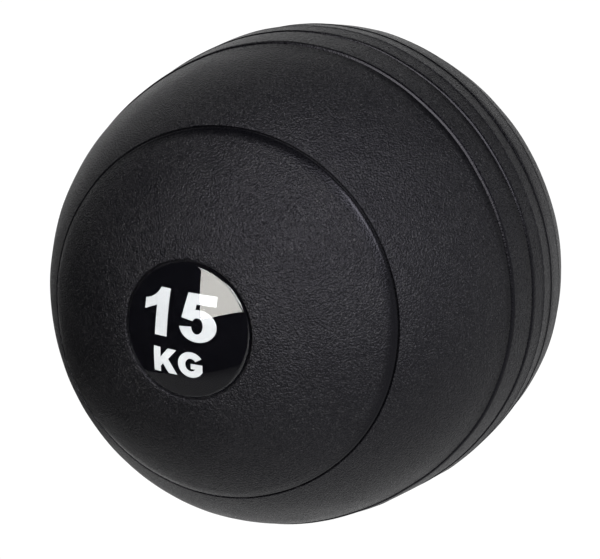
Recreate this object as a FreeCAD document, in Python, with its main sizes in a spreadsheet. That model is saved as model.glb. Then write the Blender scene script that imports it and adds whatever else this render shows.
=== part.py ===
# Sand-filled exercise ball with a round weight badge on each pole.
#
# The shell gives under the ball's weight: its underside sags to a larger radius and ends in a small flat
# that the ball stands on. +Z is up, and the pole axis lies level along Y: the front badge faces -Y, and
# the filling hole is under the badge that faces +Y.
# Every piece is modelled about the centre of the ball, and its Placement lifts it by centre_height, so
# that the flat lies on Z = 0.

import math
import os

import FreeCAD
import Part
import Sketcher

V = FreeCAD.Vector

DIMENSIONS = {
    # ball
    "ball_radius": 140.0,
    "wall": 9.0,
    # underside: part of a larger sphere centred above the ball's own centre, cut off level by the flat
    "sag_radius": 190.0,
    "sag_centre": 59.2,
    "sag_floor_start": -96.7,
    "sag_skin_start": -102.9,
    "centre_height": 128.8,
    # mould grooves: distance of each groove's plane from the equator, and the groove's own section
    "crown_groove_at": 97.0,
    "belt_edge_at": 32.6,
    "belt_line_at": 13.2,
    "belt_rise": 0.6,
    "crown_groove_radius": 1.0,
    "belt_groove_radius": 1.2,
    # badge recess on each pole: its floor follows the ball
    "recess_radius": 36.5,
    "recess_floor": 137.0,
    "recess_rim_round": 0.8,
    # filling hole in the rear pole, and the boss inside that thickens the wall around it
    "hole_radius": 9.0,
    "counterbore_radius": 15.0,
    "counterbore_floor": 133.4,
    "boss_radius": 23.0,
    "boss_end": 122.0,
    # plug and sealant
    "plug_clearance": 0.1,
    "plug_head_top": 136.0,
    "plug_head_under": 133.8,
    "plug_stem_end": 118.0,
    "plug_lead_in": 1.5,
    # sand
    "sand_clearance": 0.2,
    "sand_level": 64.0,
    # badge layers, as distances from the centre of the ball
    "badge_radius": 35.4,
    "adhesive_radius": 34.4,
    "adhesive_top": 137.3,
    "film_top": 137.8,
    "ink_top": 137.95,
    "lens_edge_top": 136.2,
    "lens_crown": 142.4,
    "lens_edge_round": 1.2,
    # weight mark, turned about the pole axis: rows and left edges are measured from the badge's centre
    "mark_turn": 35.5,
    "digit_height": 24.6,
    "digit_stroke": 7.0,
    "digit_row": -4.05,
    "one_left": -24.1,
    "five_left": -2.9,
    "letter_height": 13.2,
    "letter_stroke": 4.0,
    "letter_row": -23.35,
    "k_left": -17.3,
    "g_left": -2.9,
}

doc = FreeCAD.newDocument("medicine_ball")


def make_sheet():
    """The driving dimensions, one row each: name in column A, value in the aliased cell of column B."""
    sheet = doc.addObject("Spreadsheet::Sheet", "dims")
    for row, (alias, value) in enumerate(DIMENSIONS.items(), start=1):
        sheet.set("A%d" % row, alias)
        sheet.set("B%d" % row, str(value))
        sheet.setAlias("B%d" % row, alias)
    doc.recompute()
    return sheet


sheet = make_sheet()


def size(alias):
    return float(sheet.get(alias))


# ---------------------------------------------------------------- helpers


def new_body(label):
    body = doc.addObject("PartDesign::Body", label)
    body.Label = label
    return body


def lift(piece, turned=False):
    """Place a finished piece: lifted to the ball's centre, and turned half round for the rear pole."""
    half_turn = FreeCAD.Rotation(V(0, 0, 1), 180.0 if turned else 0.0)
    piece.Placement = FreeCAD.Placement(V(0, 0, size("centre_height")), half_turn)
    piece.setExpression(".Placement.Base.z", "dims.centre_height")
    return piece


def new_sketch(body, name, plane="XY_Plane"):
    """A sketch on one of the body's own origin planes. On XY, sketch x is X and sketch y is Y."""
    sketch = body.newObject("Sketcher::SketchObject", name)
    origin_plane = next(f for f in body.Origin.OriginFeatures if f.Role == plane)
    sketch.AttachmentSupport = [(origin_plane, "")]
    sketch.MapMode = "FlatFace"
    return sketch


def point_on_circle(radius, x, sign=-1):
    """The point at distance x from the pole axis on a circle about the centre, towards sign * Y."""
    return V(x, sign * math.sqrt(radius * radius - x * x), 0)


def arc(start, middle, end):
    return Part.Arc(start, middle, end)


def closed(sketch, pieces):
    for piece in pieces:
        sketch.addGeometry(piece, False)
    return sketch


def revolve(body, sketch, feature="PartDesign::Revolution", name="turned"):
    """Turn a sketch right round the body's Y axis, and make sure that it adds or removes material."""
    before = body.Shape.Volume if body.Tip else 0.0
    turned = body.newObject(feature, name)
    turned.Profile = sketch
    turned.ReferenceAxis = (sketch, ["V_Axis"])
    turned.Angle = 360.0
    doc.recompute()
    change = body.Shape.Volume - before
    wanted = 1 if feature == "PartDesign::Revolution" else -1
    assert change * wanted > 0, name + " changed nothing"
    return turned


def layer_profile(sketch, inner, outer, edge):
    """Half section of a cap between two spheres about the ball's centre, out to a radius of edge."""
    low_pole = V(0, -inner, 0)
    low_edge = point_on_circle(inner, edge)
    high_edge = point_on_circle(outer, edge)
    high_pole = V(0, -outer, 0)
    return closed(
        sketch,
        [
            arc(low_pole, point_on_circle(inner, edge / 2), low_edge),
            Part.LineSegment(low_edge, high_edge),
            arc(high_edge, point_on_circle(outer, edge / 2), high_pole),
            Part.LineSegment(high_pole, low_pole),
        ],
    )


# ---------------------------------------------------------------- shell


def shell_blank(body):
    """The moulded wall: two concentric half circles, with the belt standing a little proud."""
    outer = size("ball_radius")
    inner = outer - size("wall")
    belt = outer + size("belt_rise")
    belt_half = size("belt_edge_at")
    belt_x = math.sqrt(belt * belt - belt_half * belt_half)
    dome_x = math.sqrt(outer * outer - belt_half * belt_half)
    sketch = new_sketch(body, "shell_section")
    slant = outer * math.sin(math.radians(45.0))
    closed(
        sketch,
        [
            arc(V(0, -outer, 0), V(slant, -slant, 0), V(dome_x, -belt_half, 0)),
            Part.LineSegment(V(dome_x, -belt_half, 0), V(belt_x, -belt_half, 0)),
            arc(V(belt_x, -belt_half, 0), V(belt, 0, 0), V(belt_x, belt_half, 0)),
            Part.LineSegment(V(belt_x, belt_half, 0), V(dome_x, belt_half, 0)),
            arc(V(dome_x, belt_half, 0), V(slant, slant, 0), V(0, outer, 0)),
            Part.LineSegment(V(0, outer, 0), V(0, inner, 0)),
            arc(V(0, inner, 0), V(inner, 0, 0), V(0, -inner, 0)),
            Part.LineSegment(V(0, -inner, 0), V(0, -outer, 0)),
        ],
    )
    revolve(body, sketch, name="shell_wall")


def mould_grooves(body):
    """Three round-bottomed rings on each side of the equator: crown, belt edge and belt line."""
    ball = size("ball_radius")
    belt = ball + size("belt_rise")
    rings = [("crown_groove_at", ball, "crown_groove_radius")]
    rings += [("belt_edge_at", ball + size("belt_rise") / 2, "belt_groove_radius")]
    rings += [("belt_line_at", belt, "belt_groove_radius")]
    for side in (-1, 1):
        for place, surface, section in rings:
            y = side * size(place)
            x = math.sqrt(surface * surface - y * y)
            name = place + ("_front" if side < 0 else "_rear")
            sketch = new_sketch(body, name)
            sketch.addGeometry(Part.Circle(V(x, y, 0), V(0, 0, 1), size(section)), False)
            sketch.addConstraint(Sketcher.Constraint("Radius", 0, size(section)))
            sketch.setExpression("Constraints[0]", "dims." + section)
            revolve(body, sketch, "PartDesign::Groove", name + "_cut")


def badge_recess(body, side):
    """A shallow round seat on a pole: its floor is parallel to the ball's surface, its rim is rounded."""
    ball = size("ball_radius")
    floor = size("recess_floor")
    edge = size("recess_radius")
    rim = size("recess_rim_round")
    above = ball + 5.0
    lip = math.sqrt(ball * ball - (edge + rim) ** 2)
    bevel = rim * (1 - math.sqrt(0.5))
    pole = V(0, side * floor, 0)
    corner = point_on_circle(floor, edge, side)
    wall_top = V(edge, side * (lip - rim), 0)
    rim_top = V(edge + rim, side * lip, 0)
    sketch = new_sketch(body, "recess_section")
    closed(
        sketch,
        [
            arc(pole, point_on_circle(floor, edge / 2, side), corner),
            Part.LineSegment(corner, wall_top),
            arc(wall_top, V(edge + bevel, side * (lip - bevel), 0), rim_top),
            Part.LineSegment(rim_top, V(edge + rim, side * above, 0)),
            Part.LineSegment(V(edge + rim, side * above, 0), V(0, side * above, 0)),
            Part.LineSegment(V(0, side * above, 0), pole),
        ],
    )
    revolve(body, sketch, "PartDesign::Groove", "recess")


def filling_hole(body):
    """The boss inside the rear pole, then the stepped hole through boss and wall."""
    before = body.Shape.Volume
    inner = size("ball_radius") - size("wall")
    root = math.sqrt((inner + 2.0) ** 2 - size("boss_radius") ** 2)
    disc = new_sketch(body, "boss_disc", "XZ_Plane")
    disc.AttachmentOffset = FreeCAD.Placement(V(0, 0, -size("boss_end")), FreeCAD.Rotation())
    disc.addGeometry(Part.Circle(V(0, 0, 0), V(0, 0, 1), size("boss_radius")), False)
    boss = body.newObject("PartDesign::Pad", "boss")
    boss.Profile = disc
    boss.Length = root - size("boss_end")
    boss.Reversed = True
    doc.recompute()
    assert body.Shape.Volume > before, "the boss added nothing"
    hole = new_sketch(body, "hole_section")
    rectangle(hole, 0, size("hole_radius"), size("boss_end") - 5.0, size("ball_radius"))
    revolve(body, hole, "PartDesign::Groove", "hole")
    counterbore = new_sketch(body, "counterbore_section")
    rectangle(counterbore, 0, size("counterbore_radius"), size("counterbore_floor"), size("ball_radius"))
    revolve(body, counterbore, "PartDesign::Groove", "counterbore")


def rectangle(sketch, x_low, x_high, y_low, y_high):
    corners = [V(x_low, y_low, 0), V(x_high, y_low, 0), V(x_high, y_high, 0), V(x_low, y_high, 0)]
    for start, end in zip(corners, corners[1:] + corners[:1]):
        sketch.addGeometry(Part.LineSegment(start, end), False)
    return sketch


def on_sag(radius, height):
    """Distance from the vertical axis of the sphere of the underside, at a height."""
    return math.sqrt(radius**2 - (size("sag_centre") - height) ** 2)


def sagged_floor(body):
    """Carry the full wall across the inside of the underside, then cut the outside back to match."""
    wall = size("wall")
    low = -size("centre_height")
    outer = size("sag_radius")
    inner = outer - wall
    middle = size("ball_radius") - wall / 2
    start = size("sag_floor_start")
    foot = on_sag(inner, low + wall)
    knee = on_sag(inner, (low + wall + start) / 2)
    top = on_sag(inner, start)
    skirt = math.sqrt(middle**2 - start**2)
    floor = new_sketch(body, "floor_section", "XZ_Plane")
    closed(
        floor,
        [
            Part.LineSegment(V(0, low + wall, 0), V(foot, low + wall, 0)),
            arc(V(foot, low + wall, 0), V(knee, (low + wall + start) / 2, 0), V(top, start, 0)),
            Part.LineSegment(V(top, start, 0), V(skirt, start, 0)),
            arc(V(skirt, start, 0), V(middle * 0.6, -middle * 0.8, 0), V(0, -middle, 0)),
            Part.LineSegment(V(0, -middle, 0), V(0, low + wall, 0)),
        ],
    )
    revolve(body, floor, name="thick_floor")
    start = size("sag_skin_start")
    foot = on_sag(outer, low)
    knee = on_sag(outer, (low + start) / 2)
    top = on_sag(outer, start)
    below = -size("ball_radius") - 10.0
    cut = new_sketch(body, "sag_section", "XZ_Plane")
    closed(
        cut,
        [
            Part.LineSegment(V(0, low, 0), V(foot, low, 0)),
            arc(V(foot, low, 0), V(knee, (low + start) / 2, 0), V(top, start, 0)),
            Part.LineSegment(V(top, start, 0), V(-below, start, 0)),
            Part.LineSegment(V(-below, start, 0), V(-below, below, 0)),
            Part.LineSegment(V(-below, below, 0), V(0, below, 0)),
            Part.LineSegment(V(0, below, 0), V(0, low, 0)),
        ],
    )
    revolve(body, cut, "PartDesign::Groove", "sag")


def make_shell():
    body = new_body("outer_shell")
    shell_blank(body)
    filling_hole(body)
    sagged_floor(body)
    mould_grooves(body)
    for side in (-1, 1):
        badge_recess(body, side)
    return lift(body)


# ---------------------------------------------------------------- filling and stopper


def make_sand():
    """Loose sand: the cavity up to a level top, with room around the boss and the plug's stem."""
    lining = size("wall") + size("sand_clearance")
    inner = size("ball_radius") - lining
    bottom = lining - size("centre_height")
    cavity = doc.addObject("Part::Sphere", "sand_ball")
    cavity.setExpression("Radius", "dims.ball_radius - dims.wall - dims.sand_clearance")
    underside = doc.addObject("Part::Sphere", "sand_underside")
    underside.setExpression("Radius", "dims.sag_radius - dims.wall - dims.sand_clearance")
    underside.setExpression(".Placement.Base.z", "dims.sag_centre")
    heap = doc.addObject("Part::Box", "sand_heap")
    heap.Length = 2 * inner
    heap.Width = 2 * inner
    heap.Height = size("sand_level") - bottom
    heap.Placement.Base = V(-inner, -inner, bottom)
    filled = doc.addObject("Part::MultiCommon", "sand_filled")
    filled.Shapes = [cavity, underside, heap]
    room = doc.addObject("Part::Cylinder", "boss_room")
    room.Radius = size("boss_radius") + 1.0
    room.Height = inner
    room.Placement = FreeCAD.Placement(
        V(0, size("plug_stem_end") - 1.0, 0), FreeCAD.Rotation(V(1, 0, 0), -90)
    )
    room.setExpression("Radius", "dims.boss_radius + 1")
    sand = doc.addObject("Part::Cut", "sand_fill")
    sand.Base = filled
    sand.Tool = room
    sand.Label = "sand_fill"
    doc.recompute()
    return lift(sand)


def make_plug():
    """The rubber stopper: a head that seats in the counterbore, and a stem with a lead-in."""
    body = new_body("fill_plug")
    clearance = size("plug_clearance")
    stem = size("hole_radius") - clearance
    head = size("counterbore_radius") - clearance
    lead = size("plug_lead_in")
    tip, under, top = size("plug_stem_end"), size("plug_head_under"), size("plug_head_top")
    outline = [
        V(0, tip, 0),
        V(stem - lead, tip, 0),
        V(stem, tip + lead, 0),
        V(stem, under, 0),
        V(head, under, 0),
        V(head, top, 0),
        V(0, top, 0),
    ]
    sketch = new_sketch(body, "plug_section")
    for start, end in zip(outline, outline[1:] + outline[:1]):
        sketch.addGeometry(Part.LineSegment(start, end), False)
    revolve(body, sketch, name="plug")
    return lift(body)


def make_sealant():
    """The ring of cement between the plug's head and the counterbore."""
    body = new_body("plug_sealant")
    sketch = new_sketch(body, "sealant_section")
    edge = size("counterbore_radius") - size("plug_clearance")
    rectangle(sketch, size("hole_radius"), edge, size("counterbore_floor"), size("plug_head_under"))
    revolve(body, sketch, name="sealant")
    return lift(body)


# ---------------------------------------------------------------- badges


def make_layer(label, inner, outer, edge, rear):
    """A thin domed disc that lies on the one below it."""
    body = new_body(label)
    layer_profile(new_sketch(body, label + "_section"), size(inner), size(outer), size(edge))
    revolve(body, body.Group[-1], name=label + "_disc")
    return lift(body, rear)


def lens_blank(label):
    """The clear cast lens: its underside lies on the film, and its top is domed more than the ball."""
    body = new_body(label)
    under = size("film_top")
    edge = size("badge_radius")
    crown = size("lens_crown")
    lip = size("lens_edge_top")
    round_off = size("lens_edge_round")
    sketch = new_sketch(body, label + "_section")
    low_edge = point_on_circle(under, edge)
    side_top = V(edge, -(lip - round_off), 0)
    shoulder = V(edge - round_off, -lip, 0)
    corner = V(edge - round_off * (1 - math.sqrt(0.5)), -(lip - round_off * (1 - math.sqrt(0.5))), 0)
    rise = crown - lip
    top_radius = (shoulder.x**2 + rise**2) / (2 * rise)
    half = shoulder.x / 2
    middle = V(half, -(crown - top_radius + math.sqrt(top_radius**2 - half**2)), 0)
    closed(
        sketch,
        [
            arc(V(0, -under, 0), point_on_circle(under, edge / 2), low_edge),
            Part.LineSegment(low_edge, side_top),
            arc(side_top, corner, shoulder),
            arc(shoulder, middle, V(0, -crown, 0)),
            Part.LineSegment(V(0, -crown, 0), V(0, -under, 0)),
        ],
    )
    revolve(body, sketch, name=label + "_cast")
    return body


def straight(*points):
    """The straight edges that join the points in turn."""
    corners = [V(u, 0, v) for u, v in points]
    return [Part.LineSegment(start, end).toShape() for start, end in zip(corners, corners[1:])]


def on_bend(centre, radii, bearing_deg):
    bearing = math.radians(bearing_deg)
    return (centre[0] + radii[0] * math.cos(bearing), centre[1] + radii[1] * math.sin(bearing))


def bend(centre, radii, start_deg, end_deg):
    """A smooth edge round an oval, from one bearing to the other, counted anticlockwise from the right."""
    steps = 8
    bearings = [start_deg + (end_deg - start_deg) * step / steps for step in range(steps + 1)]
    points = [on_bend(centre, radii, bearing) for bearing in bearings]
    curve = Part.BSplineCurve()
    curve.interpolate([V(u, 0, v) for u, v in points])
    return [curve.toShape()]


def glyph_one(w, h, t):
    """A figure one: an upright whose flag sweeps down to the left."""
    root = w - t
    shoulder = (root + 0.2 * t, h)
    flag_top, flag_end, flag_root = (0, 0.72 * h), (0, 0.49 * h), (root, 0.62 * h)
    upright = straight(flag_root, (root, 0), (w, 0), (w, h), shoulder)
    sweep = Part.Arc(V(shoulder[0], 0, h), V(0.38 * w, 0, 0.82 * h), V(0, 0, flag_top[1])).toShape()
    return upright + [sweep] + straight(flag_top, flag_end, flag_root)


def glyph_five(w, h):
    """A figure five: a bar, a leaning neck and an oval bowl with a square-cut hook, heavier at its side."""
    bowl, outer = (0.5 * w, 0.337 * h), (0.5 * w, 0.337 * h)
    counter, inner = (0.485 * w, 0.337 * h), (0.155 * w, 0.17 * h)
    hook, notch, corner = 189, 101, 146
    bar_end, bar_low, bar_root = 0.94 * w, 0.783 * h, 0.42 * w
    neck_top, neck_foot = (0.167 * w, h), (0.048 * w, 0.472 * h)
    outline = straight(neck_foot, neck_top, (bar_end, h), (bar_end, bar_low), (bar_root, bar_low))
    outline += straight((bar_root, bar_low), on_bend(bowl, outer, notch))
    outline += bend(bowl, outer, notch, 0) + bend(bowl, outer, 0, hook - 360)
    outline += straight(on_bend(bowl, outer, hook), on_bend(counter, inner, hook))
    outline += bend(counter, inner, hook - 360, 0) + bend(counter, inner, 0, corner)
    return outline + straight(on_bend(counter, inner, corner), neck_foot)


def glyph_k(w, h, t):
    """A capital K: an upright and two straight arms that meet on it."""
    mid = h / 2
    reach = 1.25 * t
    return straight(
        (0, 0),
        (t, 0),
        (t, mid - 0.9 * t),
        (t + 0.35 * t, mid - 0.5 * t),
        (w - reach, 0),
        (w, 0),
        (t + 1.15 * t, mid + 0.28 * t),
        (w - 0.1 * t, h),
        (w - 0.1 * t - reach, h),
        (t, mid + 0.35 * t),
        (t, h),
        (0, h),
        (0, 0),
    )


def glyph_g(w, h, t):
    """A capital G: a round bowl, open at the right, with a bar turned in at the middle."""
    outer = (0.53 * w, h / 2)
    inner = (outer[0] - 1.03 * t, outer[1] - 0.86 * t)
    bowl = outer
    mouth, jaw, bar_root = 36, -30, -38
    jaw_end = on_bend(bowl, outer, jaw)
    bar_top, bar_left = 0.55 * h, 0.53 * w
    inner_end = on_bend(bowl, inner, bar_root)
    outline = bend(bowl, outer, mouth, 180) + bend(bowl, outer, 180, 360 + jaw)
    outline += straight(jaw_end, (w, jaw_end[1]), (w, bar_top), (bar_left, bar_top))
    outline += straight((bar_left, bar_top), (bar_left, inner_end[1]), inner_end)
    outline += bend(bowl, inner, 360 + bar_root, 180) + bend(bowl, inner, 180, mouth)
    return outline + straight(on_bend(bowl, inner, mouth), on_bend(bowl, outer, mouth))


def make_mark():
    """The weight mark in ink: each character is a thin island that follows the film. Returns cutters."""
    tall, low = size("digit_height"), size("letter_height")
    digit_stroke, letter_stroke = size("digit_stroke"), size("letter_stroke")
    digit_row, letter_row = size("digit_row"), size("letter_row")
    marks = [
        ("front_badge_digit_one", glyph_one(0.58 * tall, tall, digit_stroke), "one_left", digit_row),
        ("front_badge_digit_five", glyph_five(0.83 * tall, tall), "five_left", digit_row),
        ("front_badge_letter_k", glyph_k(1.04 * low, low, letter_stroke), "k_left", letter_row),
        ("front_badge_letter_g", glyph_g(1.03 * low, 1.035 * low, letter_stroke), "g_left", letter_row),
    ]
    return [make_character(label, outline, size(left), bottom) for label, outline, left, bottom in marks]


def make_character(label, outline, left, bottom):
    """One character: its outline extruded through the layers, kept between the film and the ink's top."""
    flat = Part.Face(Part.Wire(outline))
    flat.translate(V(left, 0, bottom))
    flat.rotate(V(0, 0, 0), V(0, 1, 0), size("mark_turn"))
    outline_face = doc.addObject("Part::Feature", label + "_outline")
    outline_face.Shape = flat
    block = doc.addObject("Part::Extrusion", label + "_block")
    block.Base = outline_face
    block.DirMode = "Custom"
    block.Dir = V(0, -1, 0)
    block.LengthFwd = size("lens_crown")
    block.Solid = True
    cutter = doc.addObject("Part::Common", label + "_cutter")
    cutter.Base = block
    cutter.Tool = ball_of("ink_top", label)
    ink = doc.addObject("Part::Cut", label)
    ink.Base = cutter
    ink.Tool = ball_of("film_top", label)
    ink.Label = label
    doc.recompute()
    lift(ink)
    return cutter


def ball_of(alias, owner):
    ball = doc.addObject("Part::Sphere", owner + "_" + alias)
    ball.setExpression("Radius", "dims." + alias)
    doc.recompute()
    return ball


def make_lens(label, rear, cutters):
    """The lens, with the ink's places taken out of its underside."""
    blank = lens_blank(label + "_blank")
    if not cutters:
        blank.Label = label
        return lift(blank, rear)
    cutter = doc.addObject("Part::MultiFuse", label + "_cutter")
    cutter.Shapes = cutters
    lens = doc.addObject("Part::Cut", label)
    lens.Base = blank
    lens.Tool = cutter
    lens.Label = label
    doc.recompute()
    return lift(lens, rear)


def make_badge(pole, rear, cutters):
    return [
        make_layer(pole + "_badge_adhesive", "recess_floor", "adhesive_top", "adhesive_radius", rear),
        make_layer(pole + "_badge_film", "adhesive_top", "film_top", "badge_radius", rear),
        make_lens(pole + "_badge_lens", rear, cutters),
    ]


# ---------------------------------------------------------------- assembly

pieces = [make_shell(), make_sand(), make_plug(), make_sealant()]
cutters = make_mark()
pieces += [doc.getObject(c.Name.replace("_cutter", "")) for c in cutters]
pieces += make_badge("front", False, cutters)
pieces += make_badge("rear", True, [])
doc.recompute()

for item in doc.Objects:
    assert not {"Invalid", "Error"} & set(item.State), item.Label + " did not build"

os.makedirs("parts", exist_ok=True)
for piece in pieces:
    shape = piece.Shape
    assert not shape.isNull() and shape.isValid(), piece.Label + " has no valid shape"
    assert len(shape.Solids) == 1, piece.Label + " is not one solid"
    shape.exportStep("parts/%s.step" % piece.Label)
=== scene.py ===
# Looks of the sand-filled medicine ball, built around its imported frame.
#
# The shell and the lenses stand for their CAD nodes: the shell is turned round the pole axis (Y) and then lets
# itself down under its own weight, and each lens is cast over its badge film. The other nodes keep their CAD
# shape and get their materials here.

import math
from collections import namedtuple

import bmesh
import bpy
import numpy as np
from mathutils import Matrix, Vector, noise


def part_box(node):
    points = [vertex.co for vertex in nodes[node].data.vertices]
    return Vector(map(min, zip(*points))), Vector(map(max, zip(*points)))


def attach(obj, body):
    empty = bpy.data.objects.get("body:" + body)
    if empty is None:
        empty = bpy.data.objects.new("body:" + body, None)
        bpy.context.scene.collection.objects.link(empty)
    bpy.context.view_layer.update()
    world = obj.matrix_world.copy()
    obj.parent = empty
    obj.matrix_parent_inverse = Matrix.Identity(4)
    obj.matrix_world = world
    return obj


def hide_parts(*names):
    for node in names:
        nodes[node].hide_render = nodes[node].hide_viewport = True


MM = 0.001
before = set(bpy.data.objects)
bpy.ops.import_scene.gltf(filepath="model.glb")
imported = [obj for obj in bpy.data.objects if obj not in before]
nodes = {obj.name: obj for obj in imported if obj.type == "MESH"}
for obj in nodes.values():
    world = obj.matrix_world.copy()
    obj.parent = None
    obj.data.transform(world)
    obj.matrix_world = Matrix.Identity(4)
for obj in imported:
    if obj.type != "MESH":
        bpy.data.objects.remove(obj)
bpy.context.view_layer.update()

# ---------------------------------------------------------------- sizes, in millimetres about the ball's centre

film_low, film_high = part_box("front_badge_film")
CENTRE = Vector((0, 0, (film_low.z + film_high.z) / 2))
FLOOR = -CENTRE.z / MM

BALL = 140.0
WALL = 9.0
RECESS_EDGE, RECESS_FLOOR, RIM_ROUND = 36.5, 137.0, 0.8
HOLE, COUNTERBORE, COUNTERBORE_FLOOR = 9.0, 15.0, 133.4
BOSS, BOSS_END = 23.0, 122.0

LENS_EDGE, LENS_UNDER, LENS_FOOT = 35.44, 137.7, 0.05
LENS_LIP, LENS_CROWN, LENS_EDGE_ROUND = 136.2, 142.4, 2.4

# The lines moulded round the skin, the same on both sides of the equator. A line lies at this distance from the
# equator's plane, and the rest is measured along the skin from there, towards the pole. A groove or bead has its
# place, half width, and depth or height. Samples run from, to and by a step. Polish is the band that is free of
# grain: its place, its reach to each side, and how far it fades.
Line = namedtuple("Line", "at groove bead samples polish")
CROWN = Line(
    at=97.0,
    groove=(0.0, 0.5, 1.1),
    bead=(0.0, 1.0, 0.0),
    samples=((-0.6, 0.6, 0.12), (0.6, 3.2, 0.4)),
    polish=(1.4, 1.4, 0.9),
)
BELT_EDGE = Line(
    at=32.6,
    groove=(0.5, 0.42, 1.1),
    bead=(-1.5, 0.65, 0.20),
    samples=((-2.2, 1.1, 0.13),),
    polish=(-0.3, 1.3, 0.6),
)
BELT_LINE = Line(
    at=13.2,
    groove=(0.4, 0.45, 1.0),
    bead=(-0.6, 0.6, 0.45),
    samples=((-1.3, 1.0, 0.14),),
    polish=(-0.1, 1.1, 0.6),
)
LINES = (CROWN, BELT_EDGE, BELT_LINE)

# The skin falls away beside the crown's groove, steps up onto the belt, and swells to the parting ridge.
SHOULDER_START, SHOULDER_END, SHOULDER_DROP = 0.45, 3.0, 0.36
STEP_FOOT, STEP_WIDTH, STEP_DIP = 0.1, 0.75, 0.35
BELT_RISE, BELT_SWELL = 0.6, 0.59
PARTING_HALF_WIDTH, PARTING_RISE = 0.7, 0.22
PARTING_SAMPLES = (0.0, 0.25, 0.5, 0.7, 0.9)

# How the ball settles: shares of its radius, and the dent's reach in radians from straight down. A dimple is a
# direction, a height in millimetres and a reach in degrees. A wobble is a noise scale and a height.
SQUAT, DENT, DENT_REACH = 0.0167, 0.0646, 0.6115
DIMPLES = (
    ((-0.03, -0.06, 1.0), -3.3, 26.9),
    ((0.68, 0.34, 0.65), 1.75, 27.4),
    ((0.41, 0.27, -0.87), -1.4, 16.3),
)
WOBBLES = ((4.5, 0.30), (11.0, 0.10))
TURNED_WITHIN, SETTLED_AFTER = 42.0, 34.0

# Fineness of the meshes: vertices round the axis, and rings along each stretch of a section.
SHELL_AROUND, LENS_AROUND = 256, 160
RIM_RINGS, RECESS_RINGS, SKIN_RINGS, SEAT_RINGS, INNER_RINGS = 6, 12, 92, 8, 44
CORNER_RING = 0.15
LENS_UNDER_RINGS, LENS_EDGE_RINGS, LENS_TOP_RINGS = 10, 14, 40
SHARP_ABOVE = 35.0


# ---------------------------------------------------------------- shapes


def on_sphere(radius, off_axis, side):
    """Profile point (distance off the pole axis, y) on a sphere about the centre; side -1 is the front."""
    return (off_axis, side * math.sqrt(radius**2 - off_axis**2))


def smooth(x):
    """0 below 0, 1 above 1, and an even S between."""
    x = np.clip(x, 0.0, 1.0)
    return x * x * (3 - 2 * x)


def groove(past, place, half_width, depth):
    """Depth of a round-bottomed groove at a distance past its line."""
    return depth * math.sqrt(max(0.0, 1 - ((past - place) / half_width) ** 2))


def bead(past, place, half_width, rise):
    """Height of a low round ridge at a distance past its line."""
    s = (past - place) / half_width
    return rise * math.cos(s * math.pi / 2) ** 2 if abs(s) < 1 else 0.0


def along(y):
    """Distance from the equator along the skin, for a distance from the equator's plane."""
    return BALL * math.asin(min(1.0, abs(y) / BALL))


def relief(angle):
    """Height of the outer skin over the plain sphere, at an angle from the front pole."""
    from_equator = abs(math.pi / 2 - angle) * BALL
    height = 0.0
    for line in LINES:
        past = from_equator - along(line.at)
        height += bead(past, *line.bead) - groove(past, *line.groove)

    past = from_equator - along(CROWN.at)
    if SHOULDER_START < past < SHOULDER_END:
        height -= SHOULDER_DROP * (1 - (past - SHOULDER_START) / (SHOULDER_END - SHOULDER_START)) ** 3
    past = from_equator - along(BELT_EDGE.at)
    if past < STEP_FOOT:
        height += (BELT_RISE + STEP_DIP) * float(smooth((STEP_FOOT - past) / STEP_WIDTH)) - STEP_DIP
    height += BELT_SWELL * max(0.0, 1 - from_equator / along(BELT_LINE.at))
    height += PARTING_RISE * max(0.0, 1 - (from_equator / PARTING_HALF_WIDTH) ** 2)
    return height


def skin_angles():
    """Angles from the front pole at which the outer skin is sampled: close together at each line."""
    first = math.asin((RECESS_EDGE + RIM_ROUND) / BALL)
    angles = set(np.linspace(first, math.pi - first, SKIN_RINGS))
    places = list(PARTING_SAMPLES)
    for line in LINES:
        for sample in line.samples:
            places += [along(line.at) + offset for offset in np.arange(*sample)]
    for place in places:
        angles.update((math.pi / 2 - place / BALL, math.pi / 2 + place / BALL))
    return sorted(angles)


def polish(points):
    """How far the skin is free of grain: 1 along the lines, 0 away from them."""
    y = points[:, 1] / np.linalg.norm(points, axis=1)
    from_equator = BALL * np.arcsin(np.abs(y))
    free = np.zeros(len(points))
    for line in LINES:
        place, reach, fade = line.polish
        off = np.abs(from_equator - (along(line.at) + place))
        free = np.maximum(free, 1 - smooth((off - reach) / fade))
    return free


def shell_profile():
    """Closed section of the shell, from the front recess's middle round the outside to the inside's front."""
    lip = math.sqrt(BALL**2 - (RECESS_EDGE + RIM_ROUND) ** 2)
    rim = [
        (RECESS_EDGE + RIM_ROUND * (1 - math.cos(t)), lip - RIM_ROUND * (1 - math.sin(t)))
        for t in np.linspace(0, math.pi / 2, RIM_RINGS)[:-1]
    ]
    recess = [*np.linspace(0, RECESS_EDGE - CORNER_RING, RECESS_RINGS), RECESS_EDGE]
    front = [on_sphere(RECESS_FLOOR, x, -1) for x in recess] + [(x, -y) for x, y in rim]
    skin = []
    for angle in skin_angles():
        radius = BALL + relief(angle)
        skin.append((radius * math.sin(angle), -radius * math.cos(angle)))
    rear = rim[::-1] + [on_sphere(RECESS_FLOOR, x, 1) for x in np.linspace(RECESS_EDGE, COUNTERBORE, SEAT_RINGS)]
    rear += [(COUNTERBORE, COUNTERBORE_FLOOR), (HOLE, COUNTERBORE_FLOOR), (HOLE, BOSS_END), (BOSS, BOSS_END)]
    inner = BALL - WALL
    start = math.asin(BOSS / inner)
    inside = [(inner * math.sin(a), inner * math.cos(a)) for a in np.linspace(start, math.pi, INNER_RINGS)[:-1]]
    return front + skin + rear + inside + [(0.0, -inner)]


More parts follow.
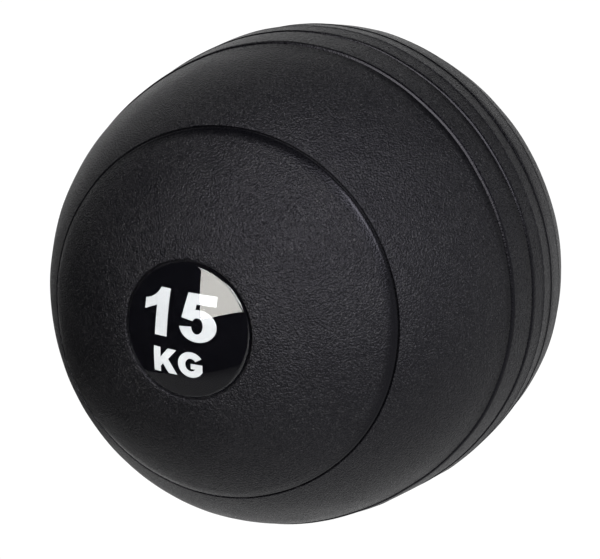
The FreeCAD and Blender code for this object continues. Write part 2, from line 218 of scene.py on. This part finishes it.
def lens_profile(side):
    """Section of a cast lens: it lies on its film, and its flatter top rolls over into a round edge."""
    shoulder = LENS_EDGE - LENS_EDGE_ROUND
    top = (shoulder**2 + (LENS_CROWN - LENS_LIP) ** 2) / (2 * (LENS_CROWN - LENS_LIP))
    middle = LENS_CROWN - top
    lean = math.asin(shoulder / (top - LENS_EDGE_ROUND))
    roll = middle + (top - LENS_EDGE_ROUND) * math.cos(lean)
    under = [on_sphere(LENS_UNDER, x, 1) for x in np.linspace(0, LENS_EDGE, LENS_UNDER_RINGS)]
    foot = math.asin(max(0.0, under[-1][1] + LENS_FOOT - roll) / LENS_EDGE_ROUND)
    edge = [
        (shoulder + LENS_EDGE_ROUND * math.cos(t), roll + LENS_EDGE_ROUND * math.sin(t))
        for t in np.linspace(foot, math.pi / 2 - lean, LENS_EDGE_RINGS)
    ]
    crown = [(top * math.sin(t), middle + top * math.cos(t)) for t in np.linspace(lean, 0, LENS_TOP_RINGS)[1:]]
    return [(x, side * y) for x, y in under + edge + crown]


def turned(profile, around):
    """Points and faces of a profile turned round Y: a profile point on the axis becomes a single vertex."""
    points, rings = [], []
    for off_axis, y in profile:
        if math.isclose(off_axis, 0.0, abs_tol=1e-6):
            rings.append([len(points)])
            points.append((0.0, y, 0.0))
            continue
        rings.append(list(range(len(points), len(points) + around)))
        for k in range(around):
            turn = 2 * math.pi * k / around
            points.append((off_axis * math.cos(turn), y, off_axis * math.sin(turn)))
    faces = []
    for a, b in zip(rings, rings[1:]):
        for k in range(around):
            n = (k + 1) % around
            corner = [a[k % len(a)], b[k % len(b)], b[n % len(b)], a[n % len(a)]]
            faces.append(list(dict.fromkeys(corner)))
    return np.array(points), faces


def settle(points):
    """Let the skin down onto the floor: it squats a little, its underside dents, and the sand leaves it uneven."""
    out = points * (1 + SQUAT / 2, 1.0, 1 - SQUAT)
    outward = out / np.linalg.norm(out, axis=1)[:, None]
    from_down = np.arccos(np.clip(-outward[:, 2], -1, 1))
    factor = 1 - DENT * np.exp(-((from_down / DENT_REACH) ** 2))
    for toward, height, reach in DIMPLES:
        toward = np.array(toward) / np.linalg.norm(toward)
        away = np.degrees(np.arccos(np.clip(outward @ toward, -1, 1)))
        factor = factor + height / BALL * np.exp(-((away / reach) ** 2))
    wobble = [sum(noise.noise(Vector(d) * scale) * height for scale, height in WOBBLES) for d in outward]
    factor = factor + np.array(wobble) / BALL
    return out * factor[:, None]


def sagged(points):
    """The shell after settling. Near the poles it keeps its turned shape, so that the badges fit their recesses,
    and its inside follows the skin over it."""
    length = np.linalg.norm(points, axis=1)
    inside = length < BALL - WALL / 2
    depth = np.where(inside, BALL - length, 0.0)
    skin = settle(points * ((length + depth) / length)[:, None])
    moved = skin * (1 - depth / np.linalg.norm(skin, axis=1))[:, None]
    off_axis = np.hypot(points[:, 0], points[:, 2])
    share = smooth((off_axis - TURNED_WITHIN) / SETTLED_AFTER)[:, None]
    out = points + (moved - points) * share
    out[:, 2] = np.maximum(out[:, 2], np.where(inside, FLOOR + WALL, FLOOR))
    return out


def piece(name, points, faces, slot):
    """A mesh piece, from millimetres about the centre, that rides on the ball."""
    mesh = bpy.data.meshes.new(name)
    mesh.from_pydata([tuple(p) for p in points * MM + np.array(CENTRE)], [], faces)
    work = bmesh.new()
    work.from_mesh(mesh)
    bmesh.ops.recalc_face_normals(work, faces=work.faces)
    work.to_mesh(mesh)
    work.free()
    mesh.validate()
    mesh.shade_smooth()
    mesh.set_sharp_from_angle(angle=math.radians(SHARP_ABOVE))
    made = bpy.data.objects.new(name, mesh)
    bpy.context.scene.collection.objects.link(made)
    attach(made, "root")
    return made


# ---------------------------------------------------------------- materials

# Texture scales are in cells or swells per metre.
PEBBLES, CREASES, SWELLS, PATCHES = 1020.0, 1300.0, 480.0, 26.0
POURS, HAZE = 38.0, 140.0
SAND_GRAINS = 1500.0
CELL_SMOOTHNESS = 0.4
MOTTLE_BAND = (0.3, 0.7)
PAPER_WHITE = 1.05


class Nodes:
    """Short calls that add to a node tree."""

    def __init__(self, tree):
        self.tree = tree

    def add(self, kind, **settings):
        node = self.tree.nodes.new(kind)
        for key, value in settings.items():
            setattr(node, key, value)
        return node

    def link(self, source, target):
        self.tree.links.new(source, target)

    def spread(self, source, low, high, over=(0.0, 1.0), ease="LINEAR"):
        """source, mapped from the range over to the range from low to high."""
        node = self.add("ShaderNodeMapRange", interpolation_type=ease)
        for socket, value in zip(("From Min", "From Max", "To Min", "To Max"), (*over, low, high)):
            node.inputs[socket].default_value = value
        self.link(source, node.inputs["Value"])
        return node.outputs["Result"]

    def measure(self, place, axis):
        """How far place lies along axis."""
        node = self.add("ShaderNodeVectorMath", operation="DOT_PRODUCT")
        node.inputs[1].default_value = axis
        self.link(place, node.inputs[0])
        return node.outputs["Value"]

    def white_to_camera(self, shader, kind, surface):
        """Link shader to surface, but show the camera itself an even white, made by a node of that kind."""
        white = self.add(kind)
        white.inputs["Color"].default_value = (1, 1, 1, 1)
        white.inputs["Strength"].default_value = PAPER_WHITE
        mix = self.add("ShaderNodeMixShader")
        self.link(self.add("ShaderNodeLightPath").outputs["Is Camera Ray"], mix.inputs["Fac"])
        self.link(shader, mix.inputs[1])
        self.link(white.outputs[0], mix.inputs[2])
        self.link(mix.outputs["Shader"], surface)


class Shader(Nodes):
    """A node material: the main shader, and short calls for the textures that feed it."""

    def __init__(self, name):
        self.material = bpy.data.materials.new(name)
        self.material.use_nodes = True
        super().__init__(self.material.node_tree)
        self.main = self.tree.nodes["Principled BSDF"]
        self.surface = self.tree.nodes["Material Output"].inputs["Surface"]
        self.place = self.add("ShaderNodeTexCoord").outputs["Object"]

    def set(self, **values):
        """Constants on the main shader's own sockets."""
        for key, value in values.items():
            self.main.inputs[key.replace("_", " ")].default_value = value

    def feed(self, **sources):
        """Textures into the main shader's sockets."""
        for key, source in sources.items():
            self.link(source, self.main.inputs[key.replace("_", " ")])

    def noise(self, scale, detail=2.0, roughness=0.5, distortion=0.0):
        node = self.add("ShaderNodeTexNoise")
        node.inputs["Scale"].default_value = scale
        node.inputs["Detail"].default_value = detail
        node.inputs["Roughness"].default_value = roughness
        node.inputs["Distortion"].default_value = distortion
        self.link(self.place, node.inputs["Vector"])
        return node.outputs["Fac"]

    def cells(self, scale, feature="F1", output="Distance"):
        node = self.add("ShaderNodeTexVoronoi", feature=feature)
        node.inputs["Scale"].default_value = scale
        if feature == "SMOOTH_F1":
            node.inputs["Smoothness"].default_value = CELL_SMOOTHNESS
        self.link(self.place, node.inputs["Vector"])
        return node.outputs[output]

    def combine(self, first, second, operation="ADD"):
        node = self.add("ShaderNodeMath", operation=operation)
        for socket, source in zip(node.inputs, (first, second)):
            self.link(source, socket)
        return node.outputs["Value"]

    def ramp(self, source, *stops):
        """source, coloured by stops of (place, colour)."""
        node = self.add("ShaderNodeValToRGB")
        made = node.color_ramp.elements
        for stop, (place, colour) in zip(made, (stops[0], stops[-1])):
            stop.position, stop.color = place, (*colour, 1)
        for place, colour in stops[1:-1]:
            made.new(place).color = (*colour, 1)
        self.link(source, node.inputs["Fac"])
        return node.outputs["Color"]

    def bump(self, height, depth_mm):
        node = self.add("ShaderNodeBump")
        node.inputs["Strength"].default_value = 1.0
        node.inputs["Distance"].default_value = depth_mm * MM
        self.link(height, node.inputs["Height"])
        return node.outputs["Normal"]


def grained_rubber():
    """Soft black moulded skin: pebbles about a millimetre across, smooth beside the grooves, with painted glints:
    bright specks in its colour.
    """
    s = Shader("grained_rubber")
    s.set(IOR=1.5, Specular_IOR_Level=0.16, Specular_Tint=(0.87, 0.85, 1.0, 1.0))
    polished = s.add("ShaderNodeAttribute", attribute_name="polish").outputs["Fac"]
    pebble = s.spread(s.cells(PEBBLES, feature="SMOOTH_F1"), 1.0, 0.0)
    crease = s.noise(CREASES, detail=2.0, roughness=0.6, distortion=0.5)
    swell = s.noise(SWELLS, detail=1.0)
    grain = s.combine(s.combine(pebble, s.spread(crease, 0.0, 0.9)), s.spread(swell, 0.0, 0.5))
    height = s.combine(grain, s.spread(polished, 1.0, 0.12), "MULTIPLY")

    patches = s.noise(PATCHES, detail=4.0, roughness=0.62)
    # Painted glints: where the crease noise runs high, the skin's colour turns to bright specks that stand for the
    # gloss of the pebbles. There are fewer of them beside the grooves.
    glint_pattern = s.combine(crease, s.spread(polished, 0.0, -0.2))
    painted_glints = s.spread(glint_pattern, 0.0, 0.85, over=(0.36, 0.76))
    colour = s.ramp(
        s.combine(s.spread(patches, 0.0, 0.3), painted_glints),
        (0.20, (0.0012, 0.0012, 0.0017)),
        (0.45, (0.0030, 0.0030, 0.0038)),
        (0.66, (0.0085, 0.0085, 0.0096)),
        (0.95, (0.0340, 0.0340, 0.0350)),
    )

    patchy = s.spread(patches, -0.04, 0.04, over=MOTTLE_BAND)
    worn_tops = s.spread(pebble, 0.40, 0.22, over=(0.45, 0.85))
    rough = s.combine(s.combine(patchy, worn_tops), s.spread(polished, 0.0, -0.10))
    s.feed(Base_Color=colour, Roughness=rough, Normal=s.bump(height, 0.52))
    return s.material


def mottled(name, dark, light, rough, bump_mm, specular=None, **texture):
    """A plain surface with a mottle of two tones, which also moves its roughness and height."""
    s = Shader(name)
    if specular is not None:
        s.set(Specular_IOR_Level=specular)
    mottle = s.noise(**texture)
    colour = s.ramp(mottle, *zip(MOTTLE_BAND, (dark, light)))
    s.feed(Base_Color=colour, Roughness=s.spread(mottle, *rough), Normal=s.bump(mottle, bump_mm))
    return s.material


def printed(name, dark, light, scale):
    """A printed layer under the lens: near even, with the faint mottle of screen ink. It has no gloss of its
    own, because the lens is cast onto it."""
    return mottled(name, dark, light, (0.5, 0.6), 0.01, specular=0.0, scale=scale, detail=3.0, roughness=0.6)


def bond_line(name, thin, thick, scale):
    """Set glue: waxy, uneven in thickness."""
    return mottled(name, thin, thick, (0.25, 0.5), 0.08, scale=scale, detail=4.0, distortion=1.2)


def moulded_rubber():
    """The stopper: smooth dark rubber with a slight turned finish."""
    dark, light = (0.020, 0.020, 0.021), (0.040, 0.040, 0.041)
    return mottled("moulded_rubber", dark, light, (0.45, 0.65), 0.05, scale=300.0, detail=3.0)


def cast_lens():
    """Clear poured polyurethane: glossy, with the slight unevenness of a surface that set by itself."""
    s = Shader("cast_lens")
    s.set(Base_Color=(1, 1, 1, 1), Transmission_Weight=1.0, IOR=1.56)
    pour = s.noise(POURS, detail=1.0)
    haze = s.spread(s.noise(HAZE, detail=3.0), 0.006, 0.030, over=(0.3, 0.8))
    s.feed(Roughness=haze, Normal=s.bump(pour, 0.10))
    return s.material


def dry_sand():
    """Coarse dry sand: grains of half a millimetre in several tans, a few of them dark or glassy."""
    s = Shader("dry_sand")
    draw = s.add("ShaderNodeSeparateColor")
    s.link(s.cells(SAND_GRAINS, output="Color"), draw.inputs["Color"])
    tans = s.ramp(
        draw.outputs["Red"],
        (0.0, (0.13, 0.10, 0.07)),
        (0.12, (0.42, 0.32, 0.21)),
        (0.55, (0.55, 0.45, 0.31)),
        (1.0, (0.74, 0.68, 0.56)),
    )
    heap = s.spread(s.cells(SAND_GRAINS), 1.0, 0.0)
    s.feed(Base_Color=tans, Roughness=s.spread(draw.outputs["Green"], 0.55, 0.95), Normal=s.bump(heap, 0.35))
    return s.material


def give(material, *pieces):
    """Make material the only one of each piece."""
    for item in pieces:
        item.data.materials.clear()
        item.data.materials.append(material)


# ---------------------------------------------------------------- the ball

shell_points, shell_faces = turned(shell_profile(), SHELL_AROUND)
shell = piece("shell_skin", sagged(shell_points), shell_faces, "shell_rubber")
shell.data.attributes.new("polish", "FLOAT", "POINT").data.foreach_set("value", polish(shell_points))
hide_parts("outer_shell")
give(grained_rubber(), shell)

lens_material = cast_lens()
for pole, side in (("front", -1), ("rear", 1)):
    lens = piece(pole + "_badge_lens_cast", *turned(lens_profile(side), LENS_AROUND), "badge_lens")
    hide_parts(pole + "_badge_lens")
    give(lens_material, lens)
    lens.visible_shadow = False

film = printed("badge_film_black", (0.0012, 0.0012, 0.0018), (0.0022, 0.0022, 0.003), scale=260.0)
ink = printed("badge_ink_white", (0.35, 0.365, 0.385), (0.375, 0.39, 0.41), scale=900.0)
adhesive = bond_line("label_adhesive", (0.55, 0.54, 0.50), (0.72, 0.71, 0.66), scale=220.0)
cement = bond_line("plug_cement", (0.30, 0.25, 0.17), (0.46, 0.40, 0.29), scale=160.0)
give(film, nodes["front_badge_film"], nodes["rear_badge_film"])
give(ink, *(nodes["front_badge_" + mark] for mark in ("digit_one", "digit_five", "letter_k", "letter_g")))
give(adhesive, nodes["front_badge_adhesive"], nodes["rear_badge_adhesive"])
give(cement, nodes["plug_sealant"])
give(moulded_rubber(), nodes["fill_plug"])
give(dry_sand(), nodes["sand_fill"])


# ---------------------------------------------------------------- camera


def direction(bearing, height):
    """Unit vector from the ball: bearing 0 is straight out of the front badge, 90 is +X; height is above level."""
    b, h = math.radians(bearing), math.radians(height)
    return Vector((math.sin(b) * math.cos(h), -math.cos(b) * math.cos(h), math.sin(h)))


VIEW_BEARING, VIEW_HEIGHT, VIEW_ROLL = 29.14, -2.32, -27.95
VIEW_AWAY, VIEW_LENS, VIEW_SENSOR = 1.68, 183.5, 36.0
AIM_RIGHT, AIM_UP = -0.00318, -0.00057

to_camera = direction(VIEW_BEARING, VIEW_HEIGHT)
upright = to_camera.to_track_quat("Z", "Y").to_matrix()
VIEW = (upright @ Matrix.Rotation(math.radians(VIEW_ROLL), 3, "Z")).to_quaternion()

camera = bpy.data.objects.new("camera", bpy.data.cameras.new("camera"))
bpy.context.scene.collection.objects.link(camera)
bpy.context.scene.camera = camera
camera.rotation_mode = "QUATERNION"
camera.rotation_quaternion = VIEW
camera.location = CENTRE + to_camera * VIEW_AWAY + VIEW @ Vector((AIM_RIGHT, AIM_UP, 0))
camera.data.lens = VIEW_LENS
camera.data.sensor_width = VIEW_SENSOR
camera.data.clip_start, camera.data.clip_end = 0.05, 60.0


# ---------------------------------------------------------------- lamps and room


def toward_view(rightward, upward):
    """Unit vector from the ball, in angles counted from the line to the camera, in the camera's own tilt."""
    r, u = math.radians(rightward), math.radians(upward)
    return VIEW @ Vector((math.sin(r) * math.cos(u), math.sin(u), math.cos(r) * math.cos(u)))


def softbox(name, place, away, back, size, power, colour=(1, 1, 1)):
    """A rectangular lamp in the direction place, with its back turned to the direction back. The camera
    doesn't see it, but the ball's gloss does."""
    lamp = bpy.data.lights.new(name, "AREA")
    lamp.shape = "RECTANGLE"
    lamp.size, lamp.size_y = size
    lamp.energy = power
    lamp.color = colour
    made = bpy.data.objects.new(name, lamp)
    bpy.context.scene.collection.objects.link(made)
    made.location = CENTRE + toward_view(*place) * away
    behind = toward_view(*back)
    across = (VIEW @ Vector((0, 1, 0))).cross(behind).normalized()
    made.rotation_mode = "QUATERNION"
    made.rotation_quaternion = Matrix((across, behind.cross(across), behind)).transposed().to_quaternion()
    made.visible_camera = False


# The key is a large warm box to the front left, turned well aside. The second, above right, faces the ball.
softbox(
    "key",
    place=(-16.2, 12.0),
    away=1.84,
    back=(-66.5, 0.0),
    size=(1.61, 1.36),
    power=76.5,
    colour=(1.0, 0.98, 0.93),
)
softbox("second", place=(21.0, 24.0), away=1.6, back=(21.0, 24.0), size=(0.75, 0.95), power=33.0)

# The room is dark, apart from a soft glow behind the ball and above it that lights the rim of the skin. It has a
# direction in the camera's axes, the cosines to it where it starts and where it is full, and a strength.
GLOW_TOWARD, GLOW_OVER, GLOW_STRENGTH = (-0.02, 0.45, -0.89), (0.72, 1.0), 0.95

world = bpy.data.worlds.new("studio")
bpy.context.scene.world = world
world.use_nodes = True
world.node_tree.nodes.clear()
studio = Nodes(world.node_tree)
room = studio.add("ShaderNodeBackground")
room.inputs["Color"].default_value = (1, 1, 1, 1)
outward = studio.add("ShaderNodeTexCoord").outputs["Generated"]
near_glow = studio.measure(outward, VIEW @ Vector(GLOW_TOWARD))
glow = studio.spread(near_glow, 0.0, GLOW_STRENGTH, over=GLOW_OVER, ease="SMOOTHSTEP")
studio.link(glow, room.inputs["Strength"])
sky = studio.add("ShaderNodeOutputWorld").inputs["Surface"]
studio.white_to_camera(room.outputs["Background"], "ShaderNodeBackground", sky)


# ---------------------------------------------------------------- floor

# The table ends close in front of the ball, in metres, and glows faintly towards its far and right-hand sides.
# A glow has a level direction, the distances along it where it starts and where it is full, and a strength.
TABLE_EDGE = (
    (-2.4, -0.68, 0),
    (-1.05, -0.53, 0),
    (-0.3, -0.4, 0),
    (0.3, -0.18, 0),
    (2.6, -0.18, 0),
    (2.6, 3, 0),
    (-2.4, 3, 0),
)
FAR_GLOW = ((-0.341, 0.940, 0.0), (-0.275, -0.225), 0.20)
RIGHT_GLOW = ((0.55, 0.83, 0.0), (-0.24, -0.12), 0.50)
FLOOR_TONES = ((0.03, 0.03, 0.03), (0.035, 0.035, 0.035))

table = Shader("pale_floor")
table.set(Roughness=0.9, Specular_IOR_Level=0.1, Emission_Color=(1, 1, 1, 1))
glows = [
    table.spread(table.measure(table.place, axis), 0.0, strength, over=over)
    for axis, over, strength in (FAR_GLOW, RIGHT_GLOW)
]
table.feed(
    Base_Color=table.ramp(table.noise(3.0), *zip(MOTTLE_BAND, FLOOR_TONES)),
    Emission_Strength=table.combine(*glows),
)
table.white_to_camera(table.main.outputs["BSDF"], "ShaderNodeEmission", table.surface)

floor_mesh = bpy.data.meshes.new("floor")
floor_mesh.from_pydata(TABLE_EDGE, [], [list(range(len(TABLE_EDGE)))])
floor = bpy.data.objects.new("floor", floor_mesh)
bpy.context.scene.collection.objects.link(floor)
give(table.material, floor)

bpy.context.scene.view_settings.view_transform = "Standard"
